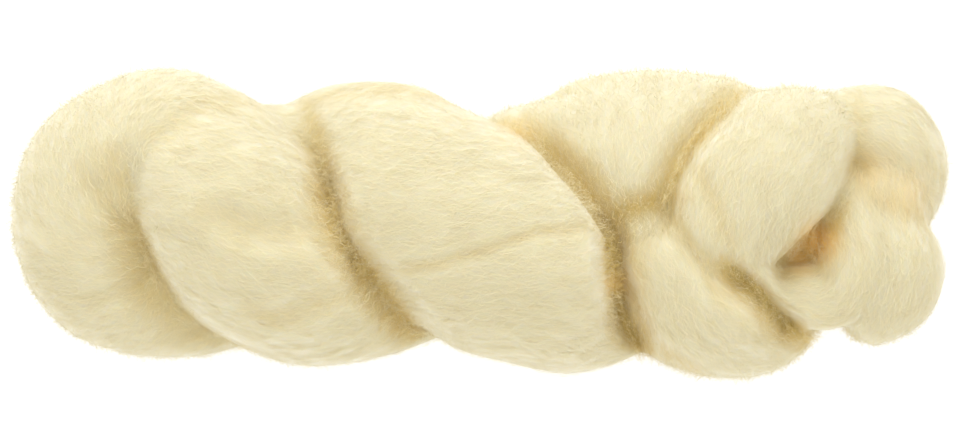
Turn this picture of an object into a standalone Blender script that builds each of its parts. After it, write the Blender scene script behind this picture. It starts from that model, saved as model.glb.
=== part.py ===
"""Twisted hank of natural wool roving, lying on a table.

A long bundle of combed wool is twisted hard, doubled back on itself so that its two halves lay up
round each other like a fat two-ply rope, and closed at the right-hand end by an end loop that is
pulled through the lay. It is one piece of fibre, so it is one solid.

The bundle is described in the plane of the hank's face: x runs along the hank, y across it, and
depth stands out of that face. The finished face is then tipped to FACE_TILT above the table, and
the underside is pressed flat where the hank rests.
"""

import math

import bmesh
import bpy
import numpy as np

MM = 0.001

# How the hank lies: the tilt of its face, and the height of its middle line above the table.
FACE_TILT = math.radians(55.0)
FLOOR_BELOW_AXIS = 39.0 * MM

# How finely the soft skin over the strands follows them, and how far its smoothing draws it in.
SKIN_GRID = 4.6 * MM
SKIN_SMOOTHING = 0.5
SKIN_SMOOTHING_PASSES = 3
SKIN_SHRINKAGE = 1.0 * MM
SECTION_STEP = 3.0 * MM
RING_SIDES = 28

# How a crease fades out at its ends, and how far in front of the middle line it starts to bite.
CREASE_FADE = 12.0 * MM
CREASE_FRONT = 10.0 * MM

WOOL_COLOUR = (0.83, 0.75, 0.56, 1.0)
WOOL_ROUGHNESS = 0.95

# Sections of the bundle, in millimetres:
#    x, y, depth, half_width, half_thickness
# The doubled bundle, in one run: from the loose bend at the right-hand end, along the rope to the
# left-hand bend, and back to where it is laid over the end loop and tucked in.
BUNDLE = (
    (111, 28, -9, 13, 13),
    (121, 30, 2, 17, 15),
    (131, 27, 5, 16, 17),
    (137, 15, 2, 15, 15),
    (131, 1, -6, 14, 15),
    (120, -10, -14, 15, 16),
    (104, -17, -10, 14, 17),
    (88, -29, 1, 24, 21),
    (72, -26, 10, 30, 22),
    (61, -15, 13, 24, 18),
    (53, -5, 11, 17, 13),
    (50, 4, 12, 16, 12),
    (50, 13, 12, 22, 15),
    (51, 24, 6, 32, 17),
    (56, 34, -10, 42, 17),
    (52, 25, -22, 33, 17),
    (36, 13, -26, 26, 16),
    (16, -2, -25, 24, 17),
    (-14, -16, -18, 22, 19),
    (-38, -24, -4, 23, 22),
    (-58, -24, 9, 27, 23),
    (-71, -12, 16, 31, 25),
    (-81, 7, 17, 31, 25),
    (-93, 22, 6, 28, 25),
    (-109, 25, 3, 26, 25),
    (-123, 15, 4, 26, 26),
    (-128, 1, 2, 26, 26),
    (-122, -13, 0, 24, 26),
    (-110, -21, -3, 22, 24),
    (-92, -23, -9, 22, 22),
    (-75, -14, -20, 25, 20),
    (-61, 8, -21, 25, 20),
    (-47, 25, -9, 24, 20),
    (-31, 24, 5, 27, 22),
    (-18, 11, 14, 34, 24),
    (-2, -6, 18, 35, 25),
    (15, -21, 13, 35, 24),
    (30, -28, 0, 22, 22),
    (53, -21, -15, 22, 19),
    (80, -4, -22, 20, 18),
    (100, 14, -19, 20, 16),
    (104, 29, -9, 21, 14),
    (98, 28, 8, 24, 16),
    (92, 18, 15, 25, 19),
    (84, 9, 19, 24, 20),
    (78, -4, 19, 20, 18),
    (76, -14, 14, 15, 14),
    (79, -22, 6, 11, 10),
)

# The end loop, pulled through under the lower half and hooked round its tip.
END_LOOP = (
    (117, 23, 4, 9, 10),
    (119, 12, 5, 9, 11),
    (121, 0, 9, 10, 12),
    (122, -10, 12, 11, 15),
    (118, -19, 14, 11, 15),
    (110, -24, 15, 10, 13),
    (100, -24, 16, 10, 12),
    (91, -22, 10, 7, 9),
)

# The full outer bend of the end loop.
END_LOBE = (
    (130, 14, 4, 12, 12),
    (131, 6, 6, 14, 15),
    (131, -3, 7, 15, 16),
    (131, -13, 10, 19, 18),
    (128, -23, 10, 19, 17),
    (125, -31, 6, 15, 14),
    (123, -38, 2, 10, 10),
)

# The wool in the middle of the rope. Both halves of the bundle wind round this line, and it swells
# where they leave room between them: by the second valley, and under the middle of the hank.
CORE = (
    (-118, 3, 0, 19, 19),
    (-88, 6, -2, 19, 19),
    (-68, 18, -2, 22, 21),
    (-40, 6, -5, 19, 19),
    (-5, 8, -7, 19, 19),
    (17, 20, -11, 20, 19),
    (35, 12, -9, 19, 19),
    (52, 6, -8, 17, 18),
    (68, 0, -2, 17, 22),
    (98, -3, -3, 18, 16),
    (118, 0, -3, 17, 17),
)

# Valleys between the lobes and creases within them, pressed into the face. Millimetres:
#    sink, reach to either side, line over the face as x and y
CREASES = (
    (5, 10, ((-114, 22), (-112, 5), (-107, -15), (-99, -26), (-88, -36), (-77, -42), (-68, -48))),
    (8, 9, ((-63, 45), (-54, 27), (-51, 14), (-48, 1), (-41, -12), (-31, -22), (-24, -32), (-10, -46))),
    (7, 9, ((-4, 40), (17, 25), (28, 13), (36, 4), (40, 1))),
    (8, 9, ((39, 5), (40, -16), (44, -29), (50, -40), (54, -50))),
    (7, 9, ((87, 44), (79, 35), (67, 22), (61, 11), (60, 3))),
    (5, 8, ((66, 10), (52, 6), (40, 2), (34, 2))),
    (3, 7, ((60, 9), (62, 2), (67, -9), (76, -16), (86, -19))),
    (10, 9, ((80, -14), (88, -20), (94, -26), (101, -33), (109, -36), (118, -42))),
    (2, 6, ((117, 8), (112, -4), (106, -12), (94, -16))),
    (2, 6, ((120, 44), (121, 28), (118, 8))),
    (1, 6, ((116, 12), (126, 7), (136, 4), (152, 0))),
    (2, 7, ((-30, -16), (-14, -13), (2, -8), (16, -3), (40, -1))),
    (2, 8, ((-109, 22), (-90, 36), (-74, 40), (-60, 40))),
    (3, 6, ((-62, 38), (-51, 40), (-34, 42), (-14, 41), (2, 35))),
)


def clear_scene():
    """Removes whatever the file opened with."""
    for obj in list(bpy.data.objects):
        bpy.data.objects.remove(obj, do_unlink=True)


def unit(vectors):
    return vectors / np.linalg.norm(vectors, axis=1)[:, None]


def smooth_sections(rows):
    """The rows as a smooth run of sections, SECTION_STEP apart, through every row."""
    knots = np.array(rows, float) * MM
    padded = np.vstack([2 * knots[0] - knots[1], knots, 2 * knots[-1] - knots[-2]])
    sections = []
    for before, start, end, after in zip(padded, padded[1:], padded[2:], padded[3:]):
        steps = max(2, round(np.linalg.norm(end[:3] - start[:3]) / SECTION_STEP))
        for t in np.arange(steps) / steps:
            straight = 2 * start + (end - before) * t
            bend = (2 * before - 5 * start + 4 * end - after) * t**2
            twist = (3 * start - before - 3 * end + after) * t**3
            sections.append(0.5 * (straight + bend + twist))
    sections.append(knots[-1])
    return np.array(sections)


def out_of_core(centres):
    """Directions from the straight middle line of the rope out to each centre."""
    left, right = np.array(CORE[0][:3]) * MM, np.array(CORE[-1][:3]) * MM
    share = np.clip((centres - left) @ (right - left) / np.sum((right - left) ** 2), 0, 1)
    return centres - left - share[:, None] * (right - left)


def out_of_face(centres):
    """The depth direction, at each centre."""
    return np.tile((0.0, 0.0, 1.0), (len(centres), 1))


def rounded_ends(centres, half_widths):
    """The share each section keeps of its size, so that a strand ends in a round nose."""
    steps = np.linalg.norm(np.diff(centres, axis=0), axis=1)
    run = np.concatenate([[0], np.cumsum(steps)])
    nose = np.clip(1 - np.minimum(run, run[-1] - run) / half_widths, 0, 1)
    return np.sqrt(np.clip(1 - nose**2, 0.02, 1))


def add_strand(mesh, rows, facing):
    """One strand, swept as elliptical rings whose thickness stands in the facing direction."""
    sections = smooth_sections(rows)
    centres, half_sizes = sections[:, :3], sections[:, 3:] + SKIN_SHRINKAGE
    tangents = unit(np.gradient(centres, axis=0))
    out = facing(centres)
    out = unit(out - np.sum(out * tangents, axis=1)[:, None] * tangents)
    side = np.cross(out, tangents)
    half_sizes = half_sizes * rounded_ends(centres, half_sizes[:, 0])[:, None]
    angles = np.arange(RING_SIDES) * 2 * math.pi / RING_SIDES
    rings = []
    for centre, across, up, (half_width, half_thickness) in zip(centres, side, out, half_sizes):
        ring = [
            mesh.verts.new(centre + half_width * math.cos(a) * across + half_thickness * math.sin(a) * up)
            for a in angles
        ]
        rings.append(ring)
    for near, far in zip(rings, rings[1:]):
        for i in range(RING_SIDES):
            j = (i + 1) % RING_SIDES
            mesh.faces.new((near[i], near[j], far[j], far[i]))
    mesh.faces.new(reversed(rings[0]))
    mesh.faces.new(rings[-1])


def skinned_strands():
    """All strands in one object, with one soft skin over them and wool right through."""
    mesh = bmesh.new()
    add_strand(mesh, BUNDLE, out_of_core)
    add_strand(mesh, END_LOOP, out_of_core)
    add_strand(mesh, END_LOBE, out_of_face)
    add_strand(mesh, CORE, out_of_face)
    bmesh.ops.recalc_face_normals(mesh, faces=mesh.faces)
    data = bpy.data.meshes.new("strands")
    mesh.to_mesh(data)
    mesh.free()
    strands = bpy.data.objects.new("strands", data)
    bpy.context.scene.collection.objects.link(strands)
    skin = strands.modifiers.new("skin", "REMESH")
    skin.mode = "VOXEL"
    skin.voxel_size = SKIN_GRID
    soften = strands.modifiers.new("soften", "SMOOTH")
    soften.factor = SKIN_SMOOTHING
    soften.iterations = SKIN_SMOOTHING_PASSES
    return strands


def pressed(points):
    """The skin's points with the valleys and creases pressed into the front."""
    points = points.copy()
    for sink, reach, line in CREASES:
        line = np.array(line, float) * MM
        lengths = np.linalg.norm(np.diff(line, axis=0), axis=1)
        nearest = np.full(len(points), np.inf)
        run = np.zeros(len(points))
        for start, end, length, passed in zip(line, line[1:], lengths, np.cumsum(lengths) - lengths):
            share = np.clip((points[:, :2] - start) @ (end - start) / length**2, 0, 1)
            gap = np.linalg.norm(points[:, :2] - start - share[:, None] * (end - start), axis=1)
            run = np.where(gap < nearest, passed + share * length, run)
            nearest = np.minimum(nearest, gap)
        trough = np.clip(1 - (nearest / (reach * MM)) ** 2, 0, 1) ** 2
        fade = np.clip(np.minimum(run, lengths.sum() - run) / CREASE_FADE, 0, 1)
        front = np.clip(points[:, 2] / CREASE_FRONT, 0, 1)
        points[:, 2] -= sink * MM * trough * fade * front
    return points


def tipped(points):
    """Points of the hank's face turned to lie at FACE_TILT on a level table."""
    x, y, depth = points.T
    sine, cosine = math.sin(FACE_TILT), math.cos(FACE_TILT)
    return np.stack([x, y * sine - depth * cosine, y * cosine + depth * sine], axis=1)


def lay_on_table(strands):
    """The skinned hank as a plain mesh, tipped, pressed flat underneath and centred over the origin."""
    graph = bpy.context.evaluated_depsgraph_get()
    data = bpy.data.meshes.new_from_object(strands.evaluated_get(graph))
    points = np.empty(len(data.vertices) * 3)
    data.vertices.foreach_get("co", points)
    points = tipped(pressed(points.reshape(-1, 3)))
    points[:, 2] += FLOOR_BELOW_AXIS
    data.vertices.foreach_set("co", points.ravel())
    mesh = bmesh.new()
    mesh.from_mesh(data)
    everything = mesh.verts[:] + mesh.edges[:] + mesh.faces[:]
    cut = bmesh.ops.bisect_plane(
        mesh, geom=everything, plane_co=(0, 0, 0), plane_no=(0, 0, 1), clear_inner=True
    )
    rim = [item for item in cut["geom_cut"] if isinstance(item, bmesh.types.BMEdge)]
    bmesh.ops.contextual_create(mesh, geom=rim)
    bmesh.ops.triangulate(mesh, faces=mesh.faces[:])
    left, right = min(v.co.x for v in mesh.verts), max(v.co.x for v in mesh.verts)
    near, far = min(v.co.y for v in mesh.verts), max(v.co.y for v in mesh.verts)
    bmesh.ops.translate(mesh, verts=mesh.verts[:], vec=(-(left + right) / 2, -(near + far) / 2, 0))
    bmesh.ops.recalc_face_normals(mesh, faces=mesh.faces[:])
    mesh.to_mesh(data)
    mesh.free()
    return data


def wool_material():
    wool = bpy.data.materials.new("natural_wool")
    wool.use_nodes = True
    shader = wool.node_tree.nodes["Principled BSDF"]
    shader.inputs["Base Color"].default_value = WOOL_COLOUR
    shader.inputs["Roughness"].default_value = WOOL_ROUGHNESS
    shader.inputs["Metallic"].default_value = 0.0
    return wool


def main():
    clear_scene()
    strands = skinned_strands()
    hank_mesh = lay_on_table(strands)
    bpy.data.objects.remove(strands, do_unlink=True)
    hank_mesh.name = "roving_hank"
    hank_mesh.materials.append(wool_material())
    hank_mesh.shade_smooth()
    hank = bpy.data.objects.new("roving_hank", hank_mesh)
    bpy.context.scene.collection.objects.link(hank)


main()
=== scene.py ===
"""Looks of the twisted wool roving hank: its soft skin, its combed fibres, its fuzz, and the studio."""

import math

import bmesh
import bpy
import numpy as np
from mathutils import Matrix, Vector, noise
from mathutils.bvhtree import BVHTree
from mathutils.kdtree import KDTree


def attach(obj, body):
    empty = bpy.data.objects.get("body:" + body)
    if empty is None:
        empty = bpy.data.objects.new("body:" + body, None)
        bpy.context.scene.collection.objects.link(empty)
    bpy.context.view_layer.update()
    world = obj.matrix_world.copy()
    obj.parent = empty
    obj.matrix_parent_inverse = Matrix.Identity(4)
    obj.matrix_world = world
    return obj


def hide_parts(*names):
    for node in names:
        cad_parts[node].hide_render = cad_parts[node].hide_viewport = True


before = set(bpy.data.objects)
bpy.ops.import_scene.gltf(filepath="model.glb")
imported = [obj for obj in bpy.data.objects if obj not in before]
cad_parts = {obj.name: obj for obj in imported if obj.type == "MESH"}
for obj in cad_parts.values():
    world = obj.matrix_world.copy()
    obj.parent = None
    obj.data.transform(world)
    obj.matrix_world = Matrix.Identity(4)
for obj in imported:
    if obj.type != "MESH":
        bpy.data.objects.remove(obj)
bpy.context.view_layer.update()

MM = 0.001
SEED = 12

# How the hank lies: the tilt of its face, and the height of its middle line above the table.
FACE_TILT = math.radians(55.0)
FLOOR_BELOW_AXIS = 39.0 * MM
OUT_OF_FACE = (0.0, -math.cos(FACE_TILT), math.sin(FACE_TILT))

# The skin over the strands. Their sections are drawn in a little, to leave room for the down, and
# their ends are rounded off, to a tip that is as wide as the root of NOSE_TIP says.
SKIN_GRID = 1.5 * MM
SKIN_SMOOTHING_PASSES = 16
SECTIONS_DRAWN_IN = 1.1 * MM
SECTION_STEP = 3.0 * MM
RING_SIDES = 48
NOSE_TIP = 0.02

# A crease fades out over CREASE_FADE at its ends, and where the skin lies less than CREASE_FRONT
# in front of the middle plane. On its shorter side its painted shade reaches no more than RIM_TINT
# millimetres.
# The painted shade falls off from the line as a bell curve, the faster the higher TINT_FALL is.
CREASE_FADE = 12.0 * MM
CREASE_FRONT = 10.0 * MM
RIM_TINT = 3.5
TINT_FALL = 3.5

# The unrolled bundle, the passes that even out its fibre directions, and the jump from one lobe to
# the next that counts as a seam, which SEAM_PASSES spread and SEAM_STRENGTH brings back to full.
UNROLLED_RADIUS = 25.0 * MM
LAY_PASSES = 10
SEAM_JUMP = 4.0 * MM
SEAM_PASSES = 8
SEAM_STRENGTH = 2.5

# Relief, in millimetres: soft lumps and dents, and locks and wisps along the fibres. The valleys
# with painted golden shade lose the share RELIEF_CALM of it.
LUMPS, DENTS = 1.1, 0.35
LOCKS, WISPS = 0.12, 0.04
RELIEF_CALM = 0.6

# Shelter: rays sent from each point, how far they look, the shares of them that meet wool where the
# skin counts as fully open and as fully hidden, and how much painted golden shade it gets where it
# is fully hidden. The painted shade of the creases is patchy by VALLEY_UNEVENNESS.
SHELTER_RAYS = 14
SHELTER_REACH = 30.0 * MM
SHELTER_PASSES = 6
SHELTER_START = 0.3 * MM
OPEN, HIDDEN = 0.14, 0.50
SHELTER_SHADE = 0.35
VALLEY_UNEVENNESS = 0.4

# Fibres: how many of each kind there are, down by the coat, and in how many steps each is drawn.
LYING_COUNT, LYING_STEPS = 2500, 10
FUZZ_COUNT, FUZZ_STEPS = 4500, 14
DOWN_COUNT, DOWN_STEPS = 25000, 3

# They start about ROOT_SCATTER beside their seed and ROOT_DEPTH under the skin. None dips below
# LEAST_HEIGHT over the table, and none starts from skin that is lower than BARE_BELOW. CRIMP_SPREAD
# is the shortest and the longest crimp, as shares of the usual one, and ROLL is how far a ribbon may
# turn on its side, in radians.
ROOT_SCATTER = 0.5 * MM
ROOT_DEPTH = 0.1 * MM
LEAST_HEIGHT = 0.1 * MM
BARE_BELOW = 3.0 * MM
CRIMP_SPREAD = (0.7, 1.4)
ROLL = 0.1

# The coats of down: how far each strays from the lay, in radians, and how high it stands, in millimetres.
DOWN_COATS = ((0.3, 2.0), (0.5, 3.0), (0.8, 4.5), (1.0, 6.5))

# The photograph's frame: a long lens square to the hank's face.
LENS = 135.0
SENSOR_WIDTH = 36.0
FRAME_WIDTH = 312.5 * MM
AIM_X, AIM_Y = -1.0 * MM, 2.0 * MM

# Sections of the bundle, in millimetres:
#    x, y, depth, half_width, half_thickness, lean of the surface fibres from the bundle in degrees
# One run, from the loose bend at the right-hand end, along the rope to the left-hand bend, and back
# to where it is laid over the end loop and tucked in.
BUNDLE = (
    (111, 28, -9, 13, 13, 0),
    (121, 30, 2, 17, 15, 0),
    (131, 27, 5, 16, 17, 0),
    (137, 15, 2, 15, 15, 0),
    (131, 1, -6, 14, 15, 0),
    (120, -10, -14, 15, 16, 0),
    (104, -17, -10, 14, 17, 0),
    (88, -29, 1, 24, 21, 5),
    (72, -26, 10, 30, 22, 5),
    (61, -15, 13, 24, 18, 0),
    (53, -5, 11, 17, 13, 0),
    (50, 4, 12, 16, 12, 0),
    (50, 13, 12, 22, 15, 0),
    (51, 24, 6, 32, 17, 0),
    (56, 34, -10, 42, 17, 0),
    (52, 25, -22, 33, 17, 0),
    (36, 13, -26, 26, 16, 10),
    (16, -2, -25, 24, 17, 20),
    (-14, -16, -18, 22, 19, 40),
    (-38, -24, -4, 23, 22, 45),
    (-58, -24, 9, 27, 23, 50),
    (-71, -12, 16, 31, 25, 50),
    (-81, 7, 17, 31, 25, 50),
    (-93, 22, 6, 28, 25, 50),
    (-109, 25, 3, 26, 25, 55),
    (-123, 15, 4, 26, 26, 58),
    (-128, 1, 2, 26, 26, 60),
    (-122, -13, 0, 24, 26, 58),
    (-110, -21, -3, 22, 24, 55),
    (-92, -23, -9, 22, 22, 50),
    (-75, -14, -20, 25, 20, 45),
    (-61, 8, -21, 25, 20, 48),
    (-47, 25, -9, 24, 20, 50),
    (-31, 24, 5, 27, 22, 55),
    (-18, 11, 14, 34, 24, 55),
    (-2, -6, 18, 35, 25, 55),
    (15, -21, 13, 35, 24, 50),
    (30, -28, 0, 22, 22, 40),
    (53, -21, -15, 22, 19, 20),
    (80, -4, -22, 20, 18, 0),
    (100, 14, -19, 20, 16, 0),
    (104, 29, -9, 21, 14, 0),
    (98, 28, 8, 24, 16, 0),
    (92, 18, 15, 25, 19, 0),
    (84, 9, 19, 24, 20, 0),
    (78, -4, 19, 20, 18, 0),
    (76, -14, 14, 15, 14, 0),
    (79, -22, 6, 11, 10, 0),
)

# The end loop, pulled through under the lower half and hooked round its tip.
END_LOOP = (
    (117, 23, 4, 9, 10, 0),
    (118, 12, 6, 10, 12, 0),
    (120, 0, 11, 12, 14, 0),
    (121, -10, 14, 13, 16, 0),
    (117, -19, 15, 12, 15, 0),
    (110, -24, 15, 10, 13, 0),
    (100, -24, 16, 10, 12, 0),
    (91, -22, 10, 7, 9, 0),
)

# The full outer bend of the end loop.
END_LOBE = (
    (127, 22, 5, 12, 12, 0),
    (130, 14, 7, 14, 14, 0),
    (131, 6, 7, 14, 15, 0),
    (131, -3, 7, 15, 16, 0),
    (131, -13, 10, 19, 18, 0),
    (128, -23, 10, 19, 17, 0),
    (125, -31, 6, 15, 14, 0),
    (123, -38, 2, 10, 10, 0),
)

# The wool in the middle of the rope, which swells where the two halves leave room between them.
CORE = (
    (-118, 3, 0, 19, 19, 0),
    (-88, 6, -2, 19, 19, 0),
    (-68, 18, -2, 22, 21, 0),
    (-40, 6, -5, 19, 19, 0),
    (-5, 8, -7, 19, 19, 0),
    (12, 18, -7, 20, 18, 0),
    (28, 20, -7, 21, 19, 0),
    (30, 12, 0, 17, 17, 0),
    (39, 8, 3, 17, 18, 0),
    (52, 6, -8, 17, 18, 0),
    (68, 0, -2, 17, 22, 0),
    (98, -3, -3, 18, 16, 0),
    (118, 0, -3, 17, 17, 0),
)

# Valleys and creases pressed into the face. Left and right are as one goes along the line. Millimetres:
#    sink, reach to the left and to the right of the line, how much painted golden shade, line over the face
#    as x and y
CREASES = (
    (2.5, 11, 18, 0.25, ((-116, 26), (-113, 10), (-109, -6), (-104, -18))),
    (5.5, 5, 18, 0.22, ((-111, -4), (-105, -17), (-98, -27), (-88, -36), (-77, -42), (-68, -48))),
    (2.5, 5, 8, 0.3, ((-59, 46), (-53, 29), (-50, 16), (-47, 1))),
    (6.5, 8, 13, 0.6, ((-51, 18), (-48, 4), (-44, -6), (-37, -14), (-29, -24), (-23, -33), (-12, -46))),
    (1.5, 12, 5, 0.55, ((-4, 40), (17, 25), (28, 13), (36, 4), (40, 1))),
    (9, 9, 7, 1.0, ((39, 5), (40, -16), (44, -29), (50, -40), (54, -50))),
    (3, 5, 11, 0.6, ((86, 44), (78, 35), (66, 22), (60, 11), (59, 3))),
    (2.5, 8, 8, 0.55, ((66, 10), (52, 6), (40, 2), (34, 2))),
    (2, 5, 7, 0.25, ((60, 9), (62, 2), (67, -9), (76, -16), (86, -19))),
    (10, 5, 11, 1.0, ((74, -10), (82, -17), (88, -22), (94, -29), (101, -34), (108, -39))),
    (0.5, 3, 7, 0.5, ((117, 8), (112, -4), (106, -12), (94, -16))),
    (1, 5, 5, 0.15, ((120, 44), (121, 28), (118, 8))),
    (0.5, 7, 7, 0.15, ((116, 12), (126, 7), (136, 4), (152, 0))),
    (1.0, 3, 4, 0.2, ((-30, -16), (-14, -13), (2, -8), (16, -3), (40, -1))),
    (2, 8, 8, 0.1, ((-109, 22), (-90, 36), (-74, 40), (-60, 40))),
    (2, 5, 5, 0.2, ((-62, 38), (-51, 40), (-34, 42), (-14, 41), (2, 35))),
    (1.5, 6, 5, 0.2, ((-131, 20), (-122, 8), (-114, -2), (-108, -10))),
    (1.2, 6, 6, 0.05, ((-138, -25), (-126, -25), (-116, -23), (-104, -16))),
    (2.2, 9, 9, 0.15, ((-92, 4), (-82, 2), (-74, -2), (-62, -3), (-50, -6))),
    (1.5, 6, 6, 0.15, ((-78, -28), (-64, -30), (-48, -24), (-32, -20))),
    (1, 3, 3, 0.3, ((57, 10), (62, -2), (67, -9), (72, -19), (78, -28))),
    (1.5, 5, 5, 0.2, ((66, 22), (73, 6), (77, -4), (82, -14))),
    (1.2, 4, 4, 0.3, ((50, -34), (58, -41), (66, -46), (74, -52))),
)

# Places with a painted warm glow, where the light has passed through wool before it gets there.
# Millimetres over the face, and a share:
#    x, y, radius, strength of the painted glow
PAINTED_GLOW_PLACES = (
    (11, 31, 9, 0.2),
    (107, -6, 8, 1.0),
    (102, -11, 6, 0.7),
    (42, -19, 5, 0.45),
    (125, 16, 11, 0.2),
    (136, 10, 12, 0.2),
)


# ---------------------------------------------------------------- the strands


def unit(vectors):
    return vectors / np.maximum(np.linalg.norm(vectors, axis=-1, keepdims=True), 1e-12)


def smooth_sections(rows):
    """The rows as a smooth run of sections, SECTION_STEP apart, through every row.

    Their sizes come in millimetres and leave in metres. Their lean stays in degrees.
    """
    knots = np.array(rows, float)
    knots[:, :5] *= MM
    padded = np.vstack([2 * knots[0] - knots[1], knots, 2 * knots[-1] - knots[-2]])
    sections = []
    for before, start, end, after in zip(padded, padded[1:], padded[2:], padded[3:]):
        steps = max(2, round(np.linalg.norm(end[:3] - start[:3]) / SECTION_STEP))
        for t in np.arange(steps) / steps:
            straight = 2 * start + (end - before) * t
            bend = (2 * before - 5 * start + 4 * end - after) * t**2
            twist = (3 * start - before - 3 * end + after) * t**3
            sections.append(0.5 * (straight + bend + twist))
    sections.append(knots[-1])
    return np.array(sections)


def out_of_core(centres):
    """Directions from the straight middle line of the rope out to each centre."""
    left, right = np.array(CORE[0][:3]) * MM, np.array(CORE[-1][:3]) * MM
    share = np.clip((centres - left) @ (right - left) / np.sum((right - left) ** 2), 0, 1)
    return centres - left - share[:, None] * (right - left)


def out_of_face(centres):
    return np.tile((0.0, 0.0, 1.0), (len(centres), 1))


class Strand:
    """One swept strand with rounded ends: the centres, axes, half-sizes and fibre lean of its sections."""

    def __init__(self, rows, facing):
        sections = smooth_sections(rows)
        self.centres = sections[:, :3]
        self.tangents = unit(np.gradient(self.centres, axis=0))
        out = facing(self.centres)
        self.out = unit(out - np.sum(out * self.tangents, axis=1)[:, None] * self.tangents)
        self.side = np.cross(self.out, self.tangents)
        steps = np.linalg.norm(np.diff(self.centres, axis=0), axis=1)
        self.run = np.concatenate([[0], np.cumsum(steps)])
        from_end = np.minimum(self.run, self.run[-1] - self.run)
        nose = np.clip(1 - from_end / sections[:, 3], 0, 1)
        rounding = np.sqrt(np.clip(1 - nose**2, NOSE_TIP, 1))
        self.half_sizes = (sections[:, 3:5] - SECTIONS_DRAWN_IN) * rounding[:, None]
        self.lean = np.radians(sections[:, 5])

    def rings(self):
        """The strand's surface as rings of points: ring, place in the ring, coordinate."""
        angles = np.arange(RING_SIDES) * 2 * math.pi / RING_SIDES
        across = self.half_sizes[:, 0, None] * self.side
        up = self.half_sizes[:, 1, None] * self.out
        return (
            self.centres[:, None]
            + np.cos(angles)[None, :, None] * across[:, None]
            + np.sin(angles)[None, :, None] * up[:, None]
        )

    def tube(self):
        """The strand's surface as a list of points and a list of faces, without its end caps."""
        quads = []
        for i in range(len(self.centres) - 1):
            for j in range(RING_SIDES):
                k = (j + 1) % RING_SIDES
                quads.append([(i + di) * RING_SIDES + side for di, side in ((0, j), (0, k), (1, k), (1, j))])
        return self.rings().reshape(-1, 3).tolist(), quads

    def add_to(self, mesh):
        points, quads = self.tube()
        corners = [mesh.verts.new(point) for point in points]
        for quad in quads:
            mesh.faces.new([corners[k] for k in quad])
        mesh.faces.new(reversed(corners[:RING_SIDES]))
        mesh.faces.new(corners[-RING_SIDES:])


def new_object(name, mesh):
    """A bmesh as a scene object."""
    data = bpy.data.meshes.new(name)
    mesh.to_mesh(data)
    mesh.free()
    obj = bpy.data.objects.new(name, data)
    bpy.context.scene.collection.objects.link(obj)
    return obj


def skinned(strands):
    """One soft skin over all the strands, as a plain mesh object in the face's coordinates."""
    mesh = bmesh.new()
    for strand in strands:
        strand.add_to(mesh)
    bmesh.ops.recalc_face_normals(mesh, faces=mesh.faces)
    rough = new_object("strands", mesh)
    skin = rough.modifiers.new("skin", "REMESH")
    skin.mode = "VOXEL"
    skin.voxel_size = SKIN_GRID
    soften = rough.modifiers.new("soften", "SMOOTH")
    soften.factor = 0.5
    soften.iterations = SKIN_SMOOTHING_PASSES
    graph = bpy.context.evaluated_depsgraph_get()
    data = bpy.data.meshes.new_from_object(rough.evaluated_get(graph))
    bpy.data.objects.remove(rough, do_unlink=True)
    data.name = "wool_skin"
    return data


def mesh_points(data):
    points = np.empty(len(data.vertices) * 3)
    data.vertices.foreach_get("co", points)
    return points.reshape(-1, 3)


def mesh_normals(data):
    normals = np.empty(len(data.vertices) * 3)
    data.vertex_normals.foreach_get("vector", normals)
    return normals.reshape(-1, 3)


def mesh_edges(data):
    edges = np.empty(len(data.edges) * 2, dtype=np.int64)
    data.edges.foreach_get("vertices", edges)
    return edges.reshape(-1, 2)


def evened(values, edges, passes):
    """Values at the mesh's points, evened out along its edges."""
    size = len(values)
    start, end = edges.T
    neighbours = np.bincount(edges.ravel(), minlength=size)[:, None]
    for _ in range(passes):
        totals = []
        for column in values.T:
            totals.append(np.bincount(start, column[end], size) + np.bincount(end, column[start], size))
        values = 0.5 * values + 0.5 * np.stack(totals, axis=1) / neighbours
    return values


def set_points(data, points):
    data.vertices.foreach_set("co", np.ascontiguousarray(points, dtype=float).ravel())
    data.update()


# ---------------------------------------------------------------- creases and fibre directions


def line_distance(points, line):
    """How far each point is to the left of a line over the face, how far along, and the line's length."""
    line = np.array(line, float) * MM
    lengths = np.linalg.norm(np.diff(line, axis=0), axis=1)
    nearest = np.full(len(points), np.inf)
    run = np.zeros(len(points))
    left = np.ones(len(points))
    for start, end, length, passed in zip(line, line[1:], lengths, np.cumsum(lengths) - lengths):
        along = (end - start) / length
        offset = points[:, :2] - start
        share = np.clip(offset @ along, 0, length)
        gap = np.linalg.norm(offset - share[:, None] * along, axis=1)
        closer = gap < nearest
        run = np.where(closer, passed + share, run)
        left = np.where(closer, np.sign(along[0] * offset[:, 1] - along[1] * offset[:, 0]), left)
        nearest = np.minimum(nearest, gap)
    return nearest * left, run, lengths.sum()


def press_creases(points):
    """The points with the valleys and creases pressed in, and how much painted golden shade these give each
    one.
    """
    points = points.copy()
    painted_shade = np.zeros(len(points))
    front = np.clip(points[:, 2] / CREASE_FRONT, 0, 1)
    for sink, left, right, depth_of_shade, line in CREASES:
        distance, run, total = line_distance(points, line)
        fade = np.clip(np.minimum(run, total - run) / CREASE_FADE, 0, 1) * front
        gap = distance / np.where(distance > 0, left * MM, right * MM)
        points[:, 2] -= sink * MM * np.clip(1 - gap**2, 0, 1) ** 2 * fade
        tint_left = left if left >= right else min(left, RIM_TINT)
        tint_right = right if right >= left else min(right, RIM_TINT)
        gap = distance / np.where(distance > 0, tint_left * MM, tint_right * MM)
        # Painted golden shade along the crease.
        painted_shade = np.maximum(painted_shade, depth_of_shade * np.sqrt(fade) * np.exp(-TINT_FALL * gap**2))
    return points, painted_shade


def painted_glow_at(points):
    """How much painted warm glow each point's wool gets."""
    front = np.clip(points[:, 2] / CREASE_FRONT, 0, 1)
    painted_glow = np.zeros(len(points))
    for x, y, radius, share in PAINTED_GLOW_PLACES:
        gap = np.hypot(points[:, 0] - x * MM, points[:, 1] - y * MM) / (radius * MM)
        painted_glow = np.maximum(painted_glow, share * np.exp(-2 * gap**2) * front)
    return painted_glow


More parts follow.
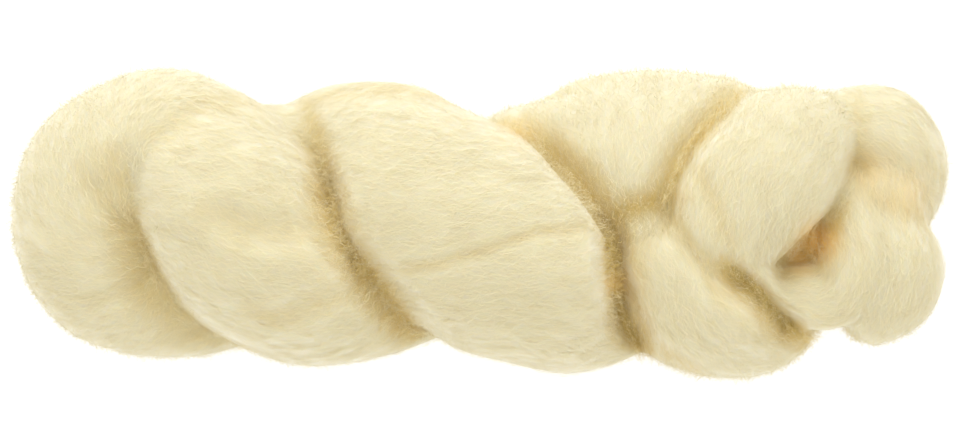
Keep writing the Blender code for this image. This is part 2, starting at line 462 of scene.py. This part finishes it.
def lay_of_fibres(points, normals, strands):
    """For each point, the direction its fibres run in, and a place in the unrolled bundle.

    The place's first number runs along the bundle, and the other two go round it, turned so that a
    fibre keeps them from end to end.
    """
    directions = np.zeros_like(points)
    places = np.zeros_like(points)
    best = np.full(len(points), np.inf)
    for number, strand in enumerate(strands):
        tree = BVHTree.FromPolygons(*strand.tube())
        rings = strand.rings()
        turns = np.tan(strand.lean[1:]) * np.diff(strand.run) / UNROLLED_RADIUS
        turn = np.concatenate([[0], np.cumsum(turns)])
        for k, point in enumerate(points):
            spot, _, face, gap = tree.find_nearest(point)
            if gap >= best[k]:
                continue
            best[k] = gap
            i, j = divmod(face, RING_SIDES)
            corner, along, around = rings[i, j], rings[i + 1, j], rings[i, (j + 1) % RING_SIDES]
            along, around, offset = along - corner, around - corner, np.array(spot) - corner
            u = min(max(offset @ along / (along @ along), 0), 1)
            v = min(max(offset @ around / (around @ around), 0), 1)
            lean = strand.lean[i] + u * (strand.lean[i + 1] - strand.lean[i])
            angle = (j + v) * 2 * math.pi / RING_SIDES + turn[i] + u * (turn[i + 1] - turn[i])
            run = strand.run[i] + u * (strand.run[i + 1] - strand.run[i])
            directions[k] = math.cos(lean) * unit(along) - math.sin(lean) * unit(around)
            places[k] = (
                number + run,
                UNROLLED_RADIUS * math.cos(angle),
                UNROLLED_RADIUS * math.sin(angle),
            )
    directions -= np.sum(directions * normals, axis=1)[:, None] * normals
    return unit(directions), places


def evened_directions(directions, normals, edges):
    """The fibre directions evened out over the skin. A direction and its opposite count as one."""
    tensors = (directions[:, :, None] * directions[:, None, :]).reshape(-1, 9)
    tensors = evened(tensors, edges, LAY_PASSES).reshape(-1, 3, 3)
    main = np.linalg.eigh(tensors)[1][:, :, -1]
    main *= np.where(np.sum(main * directions, axis=1) < 0, -1, 1)[:, None]
    return unit(main - np.sum(main * normals, axis=1)[:, None] * normals)


def seams(places, edges):
    """1 where the unrolled bundle jumps from one lobe to the next, falling to 0 close by."""
    start, end = edges.T
    jump = np.linalg.norm(places[start] - places[end], axis=1) > SEAM_JUMP
    marks = np.zeros((len(places), 1))
    marks[edges[jump].ravel()] = 1
    return np.clip(SEAM_STRENGTH * evened(marks, edges, SEAM_PASSES)[:, 0], 0, 1)


def sheltered(data, points, normals, edges):
    """The share of the sky over each point that the hank itself hides, from 0 to 1."""
    tree = BVHTree.FromPolygons(points.tolist(), [tuple(face.vertices) for face in data.polygons])
    turns = np.arange(SHELTER_RAYS) * math.pi * (3 - math.sqrt(5))
    spread = np.sqrt((np.arange(SHELTER_RAYS) + 0.5) / SHELTER_RAYS)
    rise = np.sqrt(1 - spread**2)
    hidden = np.zeros(len(points))
    for k, (point, normal) in enumerate(zip(points, normals)):
        side = unit(np.cross(normal, (0.0, 0.0, 1.0) if abs(normal[2]) < 0.9 else (1.0, 0.0, 0.0)))
        across = np.cross(normal, side)
        rays = (
            rise[:, None] * normal
            + (spread * np.cos(turns + k))[:, None] * side
            + (spread * np.sin(turns + k))[:, None] * across
        )
        start = point + SHELTER_START * normal
        hits = [tree.ray_cast(start, ray, SHELTER_REACH)[0] is not None for ray in rays]
        hidden[k] = sum(hits) / SHELTER_RAYS
    return evened(hidden[:, None], edges, SHELTER_PASSES)[:, 0]


def noise_at(places, scale, seed):
    """Smooth noise from -1 to 1 at each place, stretched by scale: one number for each axis."""
    shift = Vector((seed * 7.3, seed * 3.1, seed * 5.7))
    return np.array([noise.noise(Vector(p) + shift) for p in places * np.array(scale)])


def tipped(points):
    """Points of the hank's face turned to lie at FACE_TILT on a level table."""
    x, y, depth = points.T
    sine, cosine = math.sin(FACE_TILT), math.cos(FACE_TILT)
    return np.stack([x, y * sine - depth * cosine, y * cosine + depth * sine], axis=1)


def laid_down(points):
    """The tipped points set on the table and centred over it, and the shift that centred them."""
    world = tipped(points)
    world[:, 2] = np.maximum(world[:, 2] + FLOOR_BELOW_AXIS, 0.0)
    middle = (world[:, :2].min(axis=0) + world[:, :2].max(axis=0)) / 2
    shift = np.append(-middle, 0)
    return world + shift, shift


# ---------------------------------------------------------------- the skin


def add_attribute(data, name, kind, values):
    attribute = data.attributes.new(name, kind, "POINT")
    key = "vector" if kind == "FLOAT_VECTOR" else "value"
    attribute.data.foreach_set(key, np.ascontiguousarray(values, dtype=np.float32).ravel())


def relief(points, places, painted_shade, seam):
    """How far each point stands out: soft lumps, and ridges along the fibres."""
    lumps = noise_at(points / MM, (0.035, 0.05, 0.05), 1)
    dents = noise_at(points / MM, (0.09, 0.11, 0.11), 4)
    locks = noise_at(places / MM, (0.012, 0.13, 0.13), 2)
    wisps = noise_at(places / MM, (0.03, 0.4, 0.4), 3)
    combed = (LOCKS * locks + WISPS * wisps) * (1 - seam)
    return MM * (LUMPS * lumps + DENTS * dents + combed) * (1 - RELIEF_CALM * painted_shade)


def painted_valley_shade(painted_shade, places, hidden):
    """How much painted golden shade each point's wool gets: most in the creases, and a little where the hank
    shelters it.
    """
    uneven = 1 + VALLEY_UNEVENNESS * noise_at(places / MM, (0.05, 0.4, 0.4), 5)
    hidden = np.clip((hidden - OPEN) / (HIDDEN - OPEN), 0, 1)
    return 1 - (1 - np.clip(painted_shade * uneven, 0, 1)) * (1 - SHELTER_SHADE * hidden)


class Hank:
    """The skin of the hank laid on the table, with what its fibres need to follow it."""

    def __init__(self):
        strands = [
            Strand(BUNDLE, out_of_core),
            Strand(END_LOOP, out_of_core),
            Strand(END_LOBE, out_of_face),
            Strand(CORE, out_of_face),
        ]
        data = skinned(strands)
        points, painted_shade = press_creases(mesh_points(data))
        set_points(data, points)
        normals = mesh_normals(data)
        edges = mesh_edges(data)
        directions, places = lay_of_fibres(points, normals, strands[:3])
        directions = evened_directions(directions, normals, edges)
        seam = seams(places, edges)
        points = points + normals * relief(points, places, painted_shade, seam)[:, None]
        self.points, self.shift = laid_down(points)
        set_points(data, self.points)
        self.normals = mesh_normals(data)
        self.directions = tipped(directions)
        hidden = sheltered(data, self.points, self.normals, edges)
        # Painted golden shade in the creases and where the hank shelters the skin.
        self.valley_shade = painted_valley_shade(painted_shade, places, hidden)
        self.painted_glow = painted_glow_at(points)
        self.covered = self.points[:, 2] > BARE_BELOW
        add_attribute(data, "lay", "FLOAT_VECTOR", places / MM)
        add_attribute(data, "valley_shade", "FLOAT", self.valley_shade)
        add_attribute(data, "painted_glow", "FLOAT", self.painted_glow)
        add_attribute(data, "combed", "FLOAT", 1 - seam)
        data.shade_smooth()
        self.skin = bpy.data.objects.new("wool_skin", data)
        bpy.context.scene.collection.objects.link(self.skin)
        self.tree = KDTree(len(self.points))
        for i, point in enumerate(self.points):
            self.tree.insert(point, i)
        self.tree.balance()

    def nearest(self, points):
        return np.array([self.tree.find(p)[1] for p in points])


# ---------------------------------------------------------------- fibres


def grow(hank, seeds, steps, length, wander, curl, wave, lift, loose, rng):
    """Lines that start at the seed vertices and follow the lay of the fibres over the skin.

    length, curl and lift hold a value for each fibre: how long it is, the size of its crimp, and how
    far it stands off. wave is its crimp's length, wander how far it strays from the lay, in radians,
    and loose is 1 for a fibre whose tip stands free and 0 for one with both ends down.
    It returns each line's points, and at each of them the way across, the way up and the skin's vertex.
    """
    count = len(seeds)
    index = seeds
    heading = rng.normal(0, wander, count)
    sway = rng.normal(0, wander, count) / steps
    here = hank.points[index] + rng.normal(0, ROOT_SCATTER, (count, 3))
    phase = rng.uniform(0, 2 * math.pi, count)
    waves = length / (wave * rng.uniform(*CRIMP_SPREAD, count))
    ahead = hank.directions[index] * rng.choice((-1, 1), count)[:, None]
    lines, sides, ups, spots = [], [], [], []
    for k in range(steps + 1):
        share = k / steps
        normal = hank.normals[index]
        here = here - np.sum((here - hank.points[index]) * normal, axis=1)[:, None] * normal
        lay = hank.directions[index]
        lay = lay * np.where(np.sum(lay * ahead, axis=1) < 0, -1, 1)[:, None]
        ahead = lay
        side = unit(np.cross(normal, lay))
        angle = phase + 2 * math.pi * waves * share
        stand = lift * math.sin(math.pi * share * (1 - 0.5 * loose)) - ROOT_DEPTH
        stand = stand + 0.5 * curl * (1 + np.cos(angle)) * share
        lines.append(here + (curl * np.sin(angle))[:, None] * side + stand[:, None] * normal)
        sides.append(side)
        ups.append(normal)
        turn = (heading + sway * k)[:, None]
        here = here + (length / steps)[:, None] * (np.cos(turn) * lay + np.sin(turn) * side)
        spots.append(index)
        index = hank.nearest(here)
    return np.stack(lines, 1), np.stack(sides, 1), np.stack(ups, 1), np.stack(spots, 1)


def ribbons(lines, sides, ups, width, rng):
    """The lines as flat ribbons, their broad side to the skin: their points and four-sided faces."""
    count, knots = lines.shape[:2]
    taper = np.sin(math.pi * (np.arange(knots) + 0.6) / (knots + 0.2))[None, :, None] ** 0.5
    roll = rng.uniform(-ROLL, ROLL, count)[:, None, None]
    across = unit(np.cos(roll) * sides + np.sin(roll) * ups)
    half = 0.5 * width[:, None, None] * taper
    corners = np.stack([lines - half * across, lines + half * across], axis=2).reshape(-1, 3)
    corners[:, 2] = np.maximum(corners[:, 2], LEAST_HEIGHT)
    first = (np.arange(count)[:, None] * knots + np.arange(knots - 1)[None, :]).ravel() * 2
    return corners, np.stack([first, first + 1, first + 3, first + 2], axis=1)


def fibre_piece(name, hank, seeds, rng, width, tones, painted_shade, **how):
    """A mesh of fibres that grow from the seeds. painted_shade: the share of the skin's painted shade and
    painted glow that colours each of them.
    """
    lines, sides, ups, spots = grow(hank, seeds, rng=rng, **how)
    corners, quads = ribbons(lines, sides, ups, width, rng)
    data = bpy.data.meshes.new(name)
    data.vertices.add(len(corners))
    data.vertices.foreach_set("co", corners.ravel())
    data.loops.add(quads.size)
    data.loops.foreach_set("vertex_index", quads.ravel())
    data.polygons.add(len(quads))
    data.polygons.foreach_set("loop_start", np.arange(len(quads)) * 4)
    data.update(calc_edges=True)
    painted_shade = np.reshape(painted_shade, (-1, 1))
    add_attribute(data, "tone", "FLOAT", np.repeat(tones, 2 * lines.shape[1]))
    add_attribute(data, "valley_shade", "FLOAT", np.repeat(painted_shade * hank.valley_shade[spots], 2))
    add_attribute(data, "painted_glow", "FLOAT", np.repeat(painted_shade * hank.painted_glow[spots], 2))
    data.shade_smooth()
    obj = bpy.data.objects.new(name, data)
    bpy.context.scene.collection.objects.link(obj)
    return obj


def chosen(weight, count, rng):
    """Vertices of the skin for fibres to start from, each as likely as its weight says."""
    return rng.choice(len(weight), count, p=weight / weight.sum())


def lying_fibres(hank, rng):
    """Long fibres that lie along the lobes, most of them on the face."""
    facing = hank.normals @ np.array(OUT_OF_FACE)
    weight = np.clip(facing + 0.5, 0.15, 1.2) * hank.covered
    return fibre_piece(
        "lying_fibres",
        hank,
        chosen(weight, LYING_COUNT, rng),
        rng,
        width=rng.uniform(0.05, 0.1, LYING_COUNT) * MM,
        tones=rng.uniform(0.0, 0.25, LYING_COUNT),
        painted_shade=1.0,
        steps=LYING_STEPS,
        length=rng.uniform(12, 30, LYING_COUNT) * MM,
        wander=0.2,
        curl=np.full(LYING_COUNT, 0.2 * MM),
        wave=9.0 * MM,
        lift=rng.uniform(0.1, 0.4, LYING_COUNT) * MM,
        loose=0,
    )


def valley_fuzz(hank, rng):
    """Short, crimped fibres with free tips that cross the valleys between the lobes."""
    weight = np.clip(hank.valley_shade - 0.15, 0, 0.6) * hank.covered
    return fibre_piece(
        "valley_fuzz",
        hank,
        chosen(weight, FUZZ_COUNT, rng),
        rng,
        width=rng.uniform(0.07, 0.11, FUZZ_COUNT) * MM,
        # Painted highlight: the fuzz is painted pale, as fibres over the valleys catch the light, and each
        # takes only part of the valleys' painted shade.
        tones=rng.uniform(0.4, 1.0, FUZZ_COUNT),
        painted_shade=rng.uniform(0.3, 1.0, FUZZ_COUNT),
        steps=FUZZ_STEPS,
        length=rng.uniform(4, 12, FUZZ_COUNT) * MM,
        wander=1.4,
        curl=rng.uniform(0.4, 1.0, FUZZ_COUNT) * MM,
        wave=3.0 * MM,
        lift=rng.uniform(1.0, 5.0, FUZZ_COUNT) * MM,
        loose=1,
    )


def down(number, wander, height, hank, rng):
    """One coat of down: short arches with both ends in the skin, ever fewer the higher they stand."""
    seeds = chosen(hank.covered, DOWN_COUNT, rng)
    rise = 1 - rng.uniform(0, 0.95, DOWN_COUNT) ** (1 / 3)
    return fibre_piece(
        f"down_{number}",
        hank,
        seeds,
        rng,
        width=rng.uniform(0.07, 0.13, DOWN_COUNT) * (1.1 - 0.6 * rise) * MM,
        # Painted light: the higher a fibre stands, the paler it is painted, as if more light reached it; the
        # rest of its tone differs at random.
        tones=rng.uniform(0.1, 0.2, DOWN_COUNT) + 0.04 * height * rise,
        painted_shade=1.0,
        steps=DOWN_STEPS,
        length=rng.uniform(4, 9, DOWN_COUNT) * MM,
        wander=wander,
        curl=rng.uniform(0.1, 0.3, DOWN_COUNT) * MM,
        wave=6.0 * MM,
        lift=height * rise * MM,
        loose=0,
    )


# ---------------------------------------------------------------- materials

CREAM = (0.71, 0.65, 0.43, 1.0)
CREAM_PALE = (0.73, 0.68, 0.48, 1.0)
# Painted shade for the valleys: golden, and brown where they are deepest.
SHADE_GOLDEN = (0.70, 0.56, 0.22, 1.0)
SHADE_BROWN = (0.50, 0.36, 0.07, 1.0)
# Painted glow where light has passed through wool.
AMBER_GLOW = (0.98, 0.66, 0.20, 1.0)
FIBRE_PALE = (0.84, 0.80, 0.62, 1.0)
FIBRE_CREAM = (0.72, 0.665, 0.455, 1.0)
# Painted shade for fibres in the valleys.
FIBRE_SHADE_GOLDEN = (0.70, 0.55, 0.22, 1.0)
FIBRE_SHADE_BROWN = (0.50, 0.36, 0.08, 1.0)
# Painted light: the fibres' glow stands in for light passing through them, and lifts their shaded sides.
GLOW_OF_FIBRES = (0.85, 0.66, 0.28, 1.0)
LIGHT_THROUGH_FIBRES = 0.08


class Nodes:
    """A short way to add nodes to a material and link them."""

    def __init__(self, name):
        self.material = bpy.data.materials.new(name)
        self.material.use_nodes = True
        self.tree = self.material.node_tree
        self.shader = self.tree.nodes["Principled BSDF"]

    def add(self, kind, inputs=None, **settings):
        node = self.tree.nodes.new(kind)
        for key, value in settings.items():
            setattr(node, key, value)
        for key, value in (inputs or {}).items():
            if isinstance(value, bpy.types.NodeSocket):
                self.tree.links.new(value, node.inputs[key])
            else:
                node.inputs[key].default_value = value
        return node

    def attribute(self, name):
        return self.add("ShaderNodeAttribute", attribute_name=name)

    def streaks(self, place, along, across, detail=3.0):
        """Noise in the unrolled bundle: along and across are how many waves there are in 10 mm."""
        scale = (along / 10, across / 10, across / 10)
        stretched = self.add("ShaderNodeVectorMath", {0: place, 1: scale}, operation="MULTIPLY")
        inputs = {"Vector": stretched.outputs["Vector"], "Scale": 1.0, "Detail": detail}
        return self.add("ShaderNodeTexNoise", inputs).outputs["Fac"]

    def spread(self, value, low, high, to_low=0.0, to_high=1.0):
        return self.add(
            "ShaderNodeMapRange",
            {"Value": value, "From Min": low, "From Max": high, "To Min": to_low, "To Max": to_high},
        ).outputs["Result"]

    def mix(self, share, first, second):
        node = self.add("ShaderNodeMix", {0: share}, data_type="RGBA")
        for socket, value in ((node.inputs[6], first), (node.inputs[7], second)):
            if isinstance(value, bpy.types.NodeSocket):
                self.tree.links.new(value, socket)
            else:
                socket.default_value = value
        return node.outputs[2]

    def maths(self, operation, first, second):
        return self.add("ShaderNodeMath", {0: first, 1: second}, operation=operation).outputs[0]

    def link(self, output, name):
        self.tree.links.new(output, self.shader.inputs[name])


def wool_skin_material():
    """Combed wool seen as a mass: cream with pale and golden streaks, with painted golden and brown shade in
    its valleys and a painted amber glow where light has passed through wool.
    """
    nodes = Nodes("wool_skin_painted_shade_and_glow")
    lay = nodes.attribute("lay").outputs["Vector"]
    valley_shade = nodes.attribute("valley_shade").outputs["Fac"]
    combed = nodes.attribute("combed").outputs["Fac"]
    broad = nodes.streaks(lay, 0.12, 1.2)
    fine = nodes.streaks(lay, 0.5, 9.0, 4.0)
    finest = nodes.streaks(lay, 1.2, 26.0, 2.0)
    colour = nodes.mix(nodes.spread(broad, 0.35, 0.7), CREAM, CREAM_PALE)
    streak = nodes.maths("MULTIPLY", nodes.spread(fine, 0.35, 0.62, 0.0, 0.12), combed)
    colour = nodes.mix(streak, colour, CREAM_PALE)
    # Painted shade: golden in the valleys, brown where they are deepest.
    colour = nodes.mix(nodes.spread(valley_shade, 0.0, 0.65), colour, SHADE_GOLDEN)
    colour = nodes.mix(nodes.spread(valley_shade, 0.65, 1.0), colour, SHADE_BROWN)
    # Painted amber glow where light has passed through wool.
    colour = nodes.mix(nodes.attribute("painted_glow").outputs["Fac"], colour, AMBER_GLOW)
    nodes.link(colour, "Base Color")
    height = nodes.maths("ADD", nodes.maths("MULTIPLY", fine, 1.0), nodes.maths("MULTIPLY", finest, 0.35))
    height = nodes.maths("MULTIPLY", height, combed)
    bump = nodes.add("ShaderNodeBump", {"Height": height, "Strength": 0.15, "Distance": 0.3 * MM})
    nodes.link(bump.outputs["Normal"], "Normal")
    shader = nodes.shader
    shader.inputs["Roughness"].default_value = 0.9
    shader.inputs["Specular IOR Level"].default_value = 0.1
    shader.inputs["Subsurface Weight"].default_value = 1.0
    shader.inputs["Subsurface Radius"].default_value = (1.0, 0.80, 0.50)
    shader.inputs["Subsurface Scale"].default_value = 7.0 * MM
    shader.inputs["Sheen Weight"].default_value = 1.0
    shader.inputs["Sheen Roughness"].default_value = 0.6
    shader.inputs["Sheen Tint"].default_value = (1.0, 0.98, 0.92, 1.0)
    return nodes.material


def fibre_material():
    """Single wool fibres, from cream to pale, with painted golden and brown shade in the valleys, a painted
    amber glow, and a painted glow of their own.
    """
    nodes = Nodes("wool_fibres_painted_shade_and_glow")
    tone = nodes.attribute("tone").outputs["Fac"]
    valley_shade = nodes.attribute("valley_shade").outputs["Fac"]
    colour = nodes.mix(tone, FIBRE_CREAM, FIBRE_PALE)
    # Painted shade in the valleys, as on the skin.
    colour = nodes.mix(nodes.spread(valley_shade, 0.0, 0.65), colour, FIBRE_SHADE_GOLDEN)
    colour = nodes.mix(nodes.spread(valley_shade, 0.65, 1.0), colour, FIBRE_SHADE_BROWN)
    # Painted amber glow, as on the skin.
    nodes.link(nodes.mix(nodes.attribute("painted_glow").outputs["Fac"], colour, AMBER_GLOW), "Base Color")
    shader = nodes.shader
    shader.inputs["Roughness"].default_value = 0.8
    shader.inputs["Specular IOR Level"].default_value = 0.1
    # Painted glow: the fibres give off a little light of their own.
    shader.inputs["Emission Color"].default_value = GLOW_OF_FIBRES
    shader.inputs["Emission Strength"].default_value = LIGHT_THROUGH_FIBRES
    return nodes.material


# ---------------------------------------------------------------- the studio

FLOOR_SIZE = 3.0
FLOOR_GLOW = 1.0
FLOOR_GREY = 0.2
WHITE = (1.0, 1.0, 1.0, 1.0)
WORLD_LIGHT = 1.07
KEY_WATTS = 5.2
KEY_COLOUR = (0.90, 0.93, 1.0)
KEY_WIDTH, KEY_DEPTH = 1.0, 0.6
KEY_PLACE = (-0.12, 0.40, 0.80)
KEY_TARGET = (0.0, 0.0, 0.04)


def white_table():
    """A white table with a glow of its own, so that next to no shadow shows on it."""
    mesh = bmesh.new()
    bmesh.ops.create_grid(mesh, x_segments=1, y_segments=1, size=FLOOR_SIZE)
    floor = new_object("floor", mesh)
    nodes = Nodes("white_table")
    nodes.shader.inputs["Base Color"].default_value = (FLOOR_GREY, FLOOR_GREY, FLOOR_GREY, 1.0)
    nodes.shader.inputs["Roughness"].default_value = 0.9
    nodes.shader.inputs["Specular IOR Level"].default_value = 0.0
    nodes.shader.inputs["Emission Color"].default_value = WHITE
    nodes.shader.inputs["Emission Strength"].default_value = FLOOR_GLOW
    floor.data.materials.append(nodes.material)


def white_room():
    world = bpy.data.worlds.new("white_room")
    bpy.context.scene.world = world
    world.use_nodes = True
    background = world.node_tree.nodes["Background"]
    background.inputs["Color"].default_value = WHITE
    background.inputs["Strength"].default_value = WORLD_LIGHT


def aim_at(obj, target):
    obj.rotation_mode = "QUATERNION"
    obj.rotation_quaternion = (target - obj.location).to_track_quat("-Z", "Y")


def softbox():
    """One broad soft light, behind the hank and above it."""
    light = bpy.data.lights.new("softbox", "AREA")
    light.shape = "RECTANGLE"
    light.size, light.size_y = KEY_WIDTH, KEY_DEPTH
    light.energy, light.color = KEY_WATTS, KEY_COLOUR
    lamp = bpy.data.objects.new("softbox", light)
    lamp.location = KEY_PLACE
    aim_at(lamp, Vector(KEY_TARGET))
    bpy.context.scene.collection.objects.link(lamp)


def camera(hank):
    """The camera, square to the hank's face."""
    target = Vector(tipped(np.array([[AIM_X, AIM_Y, 0.0]]))[0]) + Vector(hank.shift)
    target.z += FLOOR_BELOW_AXIS
    data = bpy.data.cameras.new("camera")
    data.lens, data.sensor_width = LENS, SENSOR_WIDTH
    eye = bpy.data.objects.new("camera", data)
    eye.location = target + FRAME_WIDTH * LENS / SENSOR_WIDTH * Vector(OUT_OF_FACE)
    aim_at(eye, target)
    bpy.context.scene.collection.objects.link(eye)
    bpy.context.scene.camera = eye


# ---------------------------------------------------------------- putting it together


def put_on(piece, material):
    piece.data.materials.append(material)
    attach(piece, "root")


def main():
    bpy.context.scene.view_settings.view_transform = "Standard"
    rng = np.random.default_rng(SEED)
    hank = Hank()
    camera(hank)
    white_table()
    white_room()
    softbox()
    put_on(hank.skin, wool_skin_material())
    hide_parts("roving_hank")
    fibres = fibre_material()
    put_on(lying_fibres(hank, rng), fibres)
    put_on(valley_fuzz(hank, rng), fibres)
    for number, (wander, height) in enumerate(DOWN_COATS, start=1):
        put_on(down(number, wander, height, hank, rng), fibres)
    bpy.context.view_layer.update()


main()
